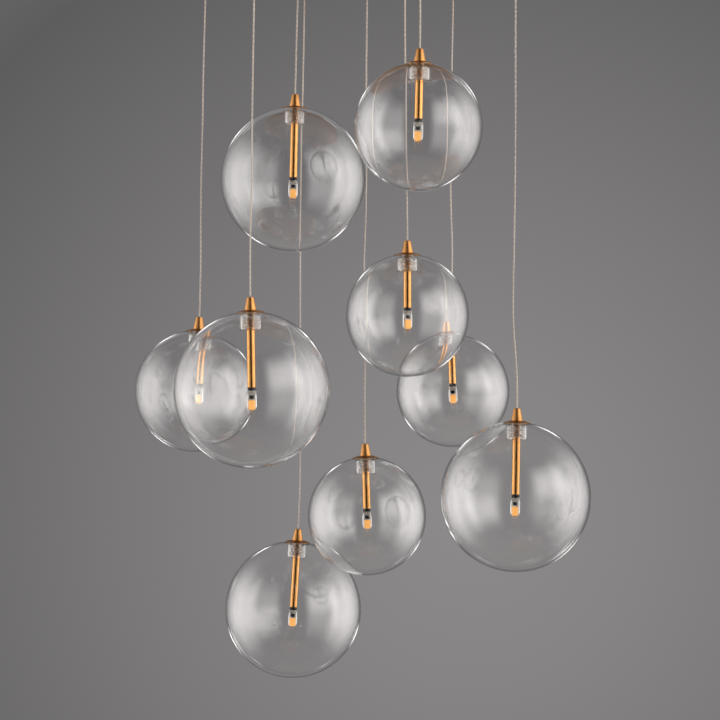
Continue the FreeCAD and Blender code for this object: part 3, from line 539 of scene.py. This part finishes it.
def speckled(name, dark, light, grain, roughness):
    """A plain finish whose colour varies over a grain of a real size, in millimetres."""
    material, tree, shader = new_material(name)
    where = add_node(tree, "TexCoord")
    spots = add_node(tree, "TexNoise", {"Vector": where.outputs["Object"], "Scale": 1 / (grain * MM),
                                        "Detail": 3.0})
    tone = add_node(tree, "ValToRGB", {"Fac": spots.outputs["Fac"]})
    tone.color_ramp.elements[0].color = srgb(dark)
    tone.color_ramp.elements[0].position = 0.35
    tone.color_ramp.elements[1].color = srgb(light)
    tone.color_ramp.elements[1].position = 0.65
    tree.links.new(tone.outputs["Color"], shader.inputs["Base Color"])
    shader.inputs["Roughness"].default_value = roughness
    return material


# Phosphor in silicone, orange by daylight. Its faint glow is painted light: an emission that brightens it as
# the photograph shows it. The rest are white solder mask, black epoxy, the milky seal round the pins, and
# nickel.
phosphor = speckled("silicone_with_yellow_phosphor", "#FFB24E", "#FFCB7E", 0.6, 0.5)
painted_glow = phosphor.node_tree.nodes["Principled BSDF"]
# A painted glow: this emission brightens the phosphor as if more light fell on it.
painted_glow.inputs["Emission Color"].default_value = srgb("#FFB462")
painted_glow.inputs["Emission Strength"].default_value = 0.68
white_board = speckled("white_solder_mask", "#EAE8E2", "#FAF9F6", 1.2, 0.4)
black_chip = speckled("black_epoxy_chip", "#17171A", "#2B2B2E", 0.5, 0.4)
lamp_base_glass = speckled("milky_base_seal", "#C9C6BF", "#E4E2DD", 1.5, 0.35)
nickel = speckled("nickel_plated_pin", "#B9B6B0", "#D8D5CF", 0.5, 0.25)
nickel.node_tree.nodes["Principled BSDF"].inputs["Metallic"].default_value = 1.0


def brick(name, size, edge):
    """A block that hangs below its origin, with its edges rounded."""
    mesh = bpy.data.meshes.new(name)
    work = bmesh.new()
    bmesh.ops.create_cube(work, size=1.0)
    for vert in work.verts:
        vert.co = Vector((vert.co.x * size[0], vert.co.y * size[1], (vert.co.z - 0.5) * size[2])) * MM
    bmesh.ops.bevel(work, geom=work.edges[:], offset=edge * MM, segments=3, profile=0.5, affect="EDGES")
    work.to_mesh(mesh)
    work.free()
    finish_mesh(mesh, 40.0)
    return mesh


shoulder = LAMP_RADIUS + TIP_LENGTH - LAMP_LENGTH
tip_angle = -math.degrees(math.acos(TIP_RADIUS / LAMP_RADIUS))
capsule_mesh = lathe("capsule", [
    (0.0, -LAMP_LENGTH), *bend(0, -LAMP_LENGTH + TIP_END, TIP_END, -90, -10, 6)[1:],
    *bend(0, shoulder, LAMP_RADIUS, tip_angle, 0, 16),
    (LAMP_RADIUS, shoulder / 2), (LAMP_RADIUS, -LAMP_EDGE), (LAMP_RADIUS - LAMP_EDGE, 0.0), (0.0, 0.0),
], 64, 50.0)
seal = LAMP_RADIUS - LAMP_WALL
base_mesh = lathe("lamp_base", [
    (0.0, -BASE_LENGTH), (seal - BASE_EDGE, -BASE_LENGTH), (seal, BASE_EDGE - BASE_LENGTH), (seal, 0.0),
    (0.0, 0.0),
], 48)
pin_mesh = lathe("pin", [
    (0.0, -BASE_LENGTH), (PIN_RADIUS, -BASE_LENGTH), (PIN_RADIUS, PIN_LENGTH - PIN_TIP),
    (PIN_RADIUS - PIN_TIP, PIN_LENGTH), (0.0, PIN_LENGTH),
], 24)
board_mesh = brick("board", BOARD, 0.15)
phosphor_mesh = brick("phosphor_bar", PHOSPHOR, 0.5)
chip_mesh = brick("chip", CHIP, 0.2)
small_chip_mesh = brick("small_chip", RESISTOR, 0.1)
for number, size in sizes.items():
    at = pendant_frame(number, LAMP_TURNS[number])
    top = POLE_DROP + STEM_REACH[size] + HOLDER_SHOW + LAMP_GAP
    body, node = f"lamp_{number}", [f"lamp_{number}"]
    for name, mesh, material, drop in (
        ("cast_capsule", capsule_mesh, capsule, 0.0),
        ("lamp_base", base_mesh, lamp_base_glass, 0.0),
        ("lamp_board", board_mesh, white_board, BASE_LENGTH),
        ("phosphor_bar", phosphor_mesh, phosphor, BASE_LENGTH + BOARD[2] - PHOSPHOR[2]),
        ("lamp_chip", chip_mesh, black_chip, CHIP_DROP),
    ):
        put(f"{name}_{number}", mesh, material, body, node, at, top + drop)
    for side, way in (("left", -1), ("right", 1)):
        beside = at @ Matrix.Translation((way * PIN_SPACING / 2 * MM, 0, 0))
        put(f"lamp_pin_{number}_{side}", pin_mesh, nickel, body, node, beside, top)
        beside = at @ Matrix.Translation((way * RESISTOR_PLACE * MM, 0, 0))
        put(f"resistor_{number}_{side}", small_chip_mesh, black_chip, body, node, beside,
            top + RESISTOR_DROP)

# ---- Canopy ----
# A spun steel pan in the same gold plate as the caps, with a soft corner. Its open side faces the ceiling. In
# it are the bracket, the cords' grips, the driver and the terminal block, which keep their CAD shapes.
CANOPY_RADIUS, CANOPY_DEPTH, CANOPY_WALL, CANOPY_CORNER, CANOPY_EDGE = 200.0, 32.0, 1.2, 6.0, 0.3
FLAT_STEPS, CORNER_STEPS = 8, 12
corner_r, corner_z = CANOPY_RADIUS - CANOPY_CORNER, CANOPY_CORNER - CANOPY_DEPTH
pan_profile = [
    *[(corner_r * i / FLAT_STEPS, -CANOPY_DEPTH) for i in range(FLAT_STEPS + 1)],
    *bend(corner_r, corner_z, CANOPY_CORNER, -90, 0, CORNER_STEPS)[1:],
    (CANOPY_RADIUS, -CANOPY_EDGE), (CANOPY_RADIUS - CANOPY_EDGE, 0.0), (CANOPY_RADIUS - CANOPY_WALL, 0.0),
    *bend(corner_r, corner_z, CANOPY_CORNER - CANOPY_WALL, 0, -90, CORNER_STEPS),
    *[(corner_r * i / FLAT_STEPS, CANOPY_WALL - CANOPY_DEPTH) for i in range(FLAT_STEPS - 1, -1, -1)],
]
pan_mesh = lathe("canopy_pan_skin", pan_profile, 192)
spun_gold = plated_brass("gold_plated_steel_spun", (0.5, 0.5, 1.0), "#BC8347", "#DAA66A", 0.3)
put("spun_canopy_pan", pan_mesh, spun_gold, "canopy", ["canopy_pan"], Matrix.Identity(4))


def dress(node, material):
    """Gives a CAD node its finish."""
    for slot in frame["nodes"][node].material_slots:
        slot.material = material


# The bracket is cut from zinc plated sheet, which has a cool grey spangle.
zinc = speckled("zinc_plated_steel", "#8E9093", "#B7B9BB", 6.0, 0.35)
zinc.node_tree.nodes["Principled BSDF"].inputs["Metallic"].default_value = 1.0
dress("ceiling_bracket", zinc)
dress("cord_grips", turned_gold)
dress("canopy_screws", turned_gold)
dress("led_driver", speckled("white_moulded_polycarbonate", "#DCDBD6", "#ECEBE6", 3.0, 0.45))
dress("terminal_block", speckled("natural_polyamide", "#E2DFD2", "#F0EDE2", 2.0, 0.4))

# ---- Floor, backdrop and lamps ----
# A pale floor at a room's height below the ceiling, which fades into the grey backdrop. The backdrop has a
# soft pool of light, and tall pale screens on both flanks show in the glass as the broad soft patches of the
# photograph.
FLOOR_Z = -2.6
FLOOR_RADIUS, FLOOR_MIDDLE = 2.4, 0.8
floor_mesh = bpy.data.meshes.new("floor")
work = bmesh.new()
bmesh.ops.create_circle(work, cap_ends=True, radius=FLOOR_RADIUS, segments=96)
work.to_mesh(floor_mesh)
work.free()
floor = bpy.data.objects.new("floor", floor_mesh)
floor.location = (0, 0, FLOOR_Z)
bpy.context.collection.objects.link(floor)
floor_paint, tree, shader = new_material("pale_studio_floor")
shader.inputs["Base Color"].default_value = srgb("#C4C2C0")
shader.inputs["Roughness"].default_value = 0.8
where = add_node(tree, "TexCoord")
out_from_middle = add_node(tree, "VectorMath", {0: where.outputs["Object"]}, operation="LENGTH")
fade = add_node(tree, "MapRange", {"Value": out_from_middle.outputs["Value"], "From Min": FLOOR_RADIUS,
                                   "From Max": FLOOR_MIDDLE}, interpolation_type="SMOOTHSTEP")
tree.links.new(fade.outputs["Result"], shader.inputs["Alpha"])
floor_mesh.materials.append(floor_paint)

world = bpy.data.worlds.new("studio")
bpy.context.scene.world = world
world.use_nodes = True
tree = world.node_tree
background = tree.nodes["Background"]

# The studio stands still round the camera, as it does when a light is turned round to be photographed from
# another side. So every direction is taken in the camera's own axes, as right, rise and ahead.
camera_axes = add_node(tree, "SeparateXYZ", {"Vector": add_node(tree, "TexCoord").outputs["Camera"]})
right, rise, ahead = [camera_axes.outputs[axis] for axis in "XYZ"]
direction = add_node(tree, "CombineXYZ", {"X": right, "Y": ahead, "Z": rise}).outputs["Vector"]
towards = add_node(tree, "Math", {0: ahead, 1: -1.0}, operation="MULTIPLY").outputs[0]
turn = add_node(tree, "Math", {0: right, 1: towards}, operation="ARCTAN2").outputs[0]
either_side = add_node(tree, "Math", {0: turn}, operation="ABSOLUTE").outputs[0]
above_or_below = add_node(tree, "Math", {0: rise}, operation="ABSOLUTE").outputs[0]


def window(value, opens, full, fades, shut):
    """One between full and fades, and nothing before opens or after shut."""
    up = add_node(tree, "MapRange", {"Value": value, "From Min": opens, "From Max": full},
                  interpolation_type="SMOOTHSTEP")
    down = add_node(tree, "MapRange", {"Value": value, "From Min": shut, "From Max": fades},
                    interpolation_type="SMOOTHSTEP")
    return add_node(tree, "Math", {0: up.outputs[0], 1: down.outputs[0]}, operation="MULTIPLY").outputs[0]


def screen(strength, across, up):
    """A soft bright field: across is a window on the turn from the viewer in degrees, up one on the rise."""
    sideways = window(across[0], *[math.radians(a) for a in across[1:]])
    both = add_node(tree, "Math", {0: sideways, 1: window(*up)}, operation="MULTIPLY").outputs[0]
    return add_node(tree, "Math", {0: both, 1: strength}, operation="MULTIPLY").outputs[0]


# The flank screens are brightest square to the side. The lit one stands to the right and reaches higher. Two
# bright edges of the screens behind draw the thin streaks along the rims of the glass.
screens = [
    screen(2.4, (either_side, 62, 84, 98, 150), (rise, -1.0, -0.15, 0.15, 0.85)),
    screen(1.1, (either_side, 18, 36, 70, 95), (rise, -0.9, -0.3, 0.3, 0.8)),
    screen(2.1, (turn, 18, 38, 66, 96), (rise, -0.15, 0.25, 0.45, 0.82)),
    screen(2.0, (either_side, 160, 164, 167, 171), (above_or_below, 0.19, 0.23, 0.26, 0.31)),
]
light = screens[0]
for other in screens[1:]:
    light = add_node(tree, "Math", {0: light, 1: other}, operation="ADD").outputs[0]

# The backdrop's pool of light lies low and a little to the right. Overhead the studio is dark.
POOL = Vector((0.055, 1.0, -0.095)).normalized()
off_pool = add_node(tree, "VectorMath", {0: direction, 1: POOL}, operation="DISTANCE").outputs["Value"]
share = add_node(tree, "Math", {0: off_pool, 1: 0.5}, operation="MULTIPLY").outputs[0]
pool = add_node(tree, "ValToRGB", {"Fac": share})
pool.color_ramp.elements[0].color = srgb("#8C8A8A")
pool.color_ramp.elements[1].color = srgb("#0C0C0C")
for place, code in ((0.04, "#868484"), (0.085, "#7A7879"), (0.16, "#5E5D5E"), (0.23, "#7D7B7B"),
                    (0.32, "#8C8A8A"), (0.5, "#7E7C7C"), (0.72, "#5A5959"), (0.86, "#121212")):
    pool.color_ramp.elements.new(place).color = srgb(code)
warm = add_node(tree, "VectorMath", {0: light, 1: (1.0, 0.965, 0.945)}, operation="MULTIPLY").outputs[0]
lit = add_node(tree, "MixRGB", {"Fac": 1.0, "Color1": pool.outputs["Color"], "Color2": warm},
               blend_type="ADD")

# The screens show only in the glass and the metal. What is seen past the light is the plain grey backdrop.
plain = add_node(tree, "MixRGB", {"Fac": 1.0, "Color1": pool.outputs["Color"], "Color2": srgb("#545353")},
                 blend_type="LIGHTEN")
seen = add_node(tree, "MixRGB", {"Fac": add_node(tree, "LightPath").outputs["Is Camera Ray"],
                                 "Color1": lit.outputs["Color"], "Color2": plain.outputs["Color"]})
tree.links.new(seen.outputs["Color"], background.inputs["Color"])
background.inputs["Strength"].default_value = 1.0

# One weak softbox stands to the right and above, for the sparkle on the metal.
KEY_PLACE, CLUSTER_MIDDLE = Vector((1.3, -0.9, 0.2)), Vector((0.0, 0.0, -0.45))
KEY_WIDTH, KEY_HEIGHT, KEY_WATTS = 1.0, 0.9, 0.5
key_data = bpy.data.lights.new("key_softbox", "AREA")
key_data.shape = "RECTANGLE"
key_data.size, key_data.size_y = KEY_WIDTH, KEY_HEIGHT
key_data.energy = KEY_WATTS
key_softbox = bpy.data.objects.new("key_softbox", key_data)
bpy.context.collection.objects.link(key_softbox)
key_softbox.location = KEY_PLACE
key_softbox.rotation_mode = "QUATERNION"
key_softbox.rotation_quaternion = (CLUSTER_MIDDLE - KEY_PLACE).to_track_quat("-Z", "Y")

scene = bpy.context.scene
scene.view_settings.view_transform = "Standard"
scene.cycles.max_bounces = 24
scene.cycles.transmission_bounces = 24
scene.cycles.glossy_bounces = 8
scene.cycles.transparent_max_bounces = 16
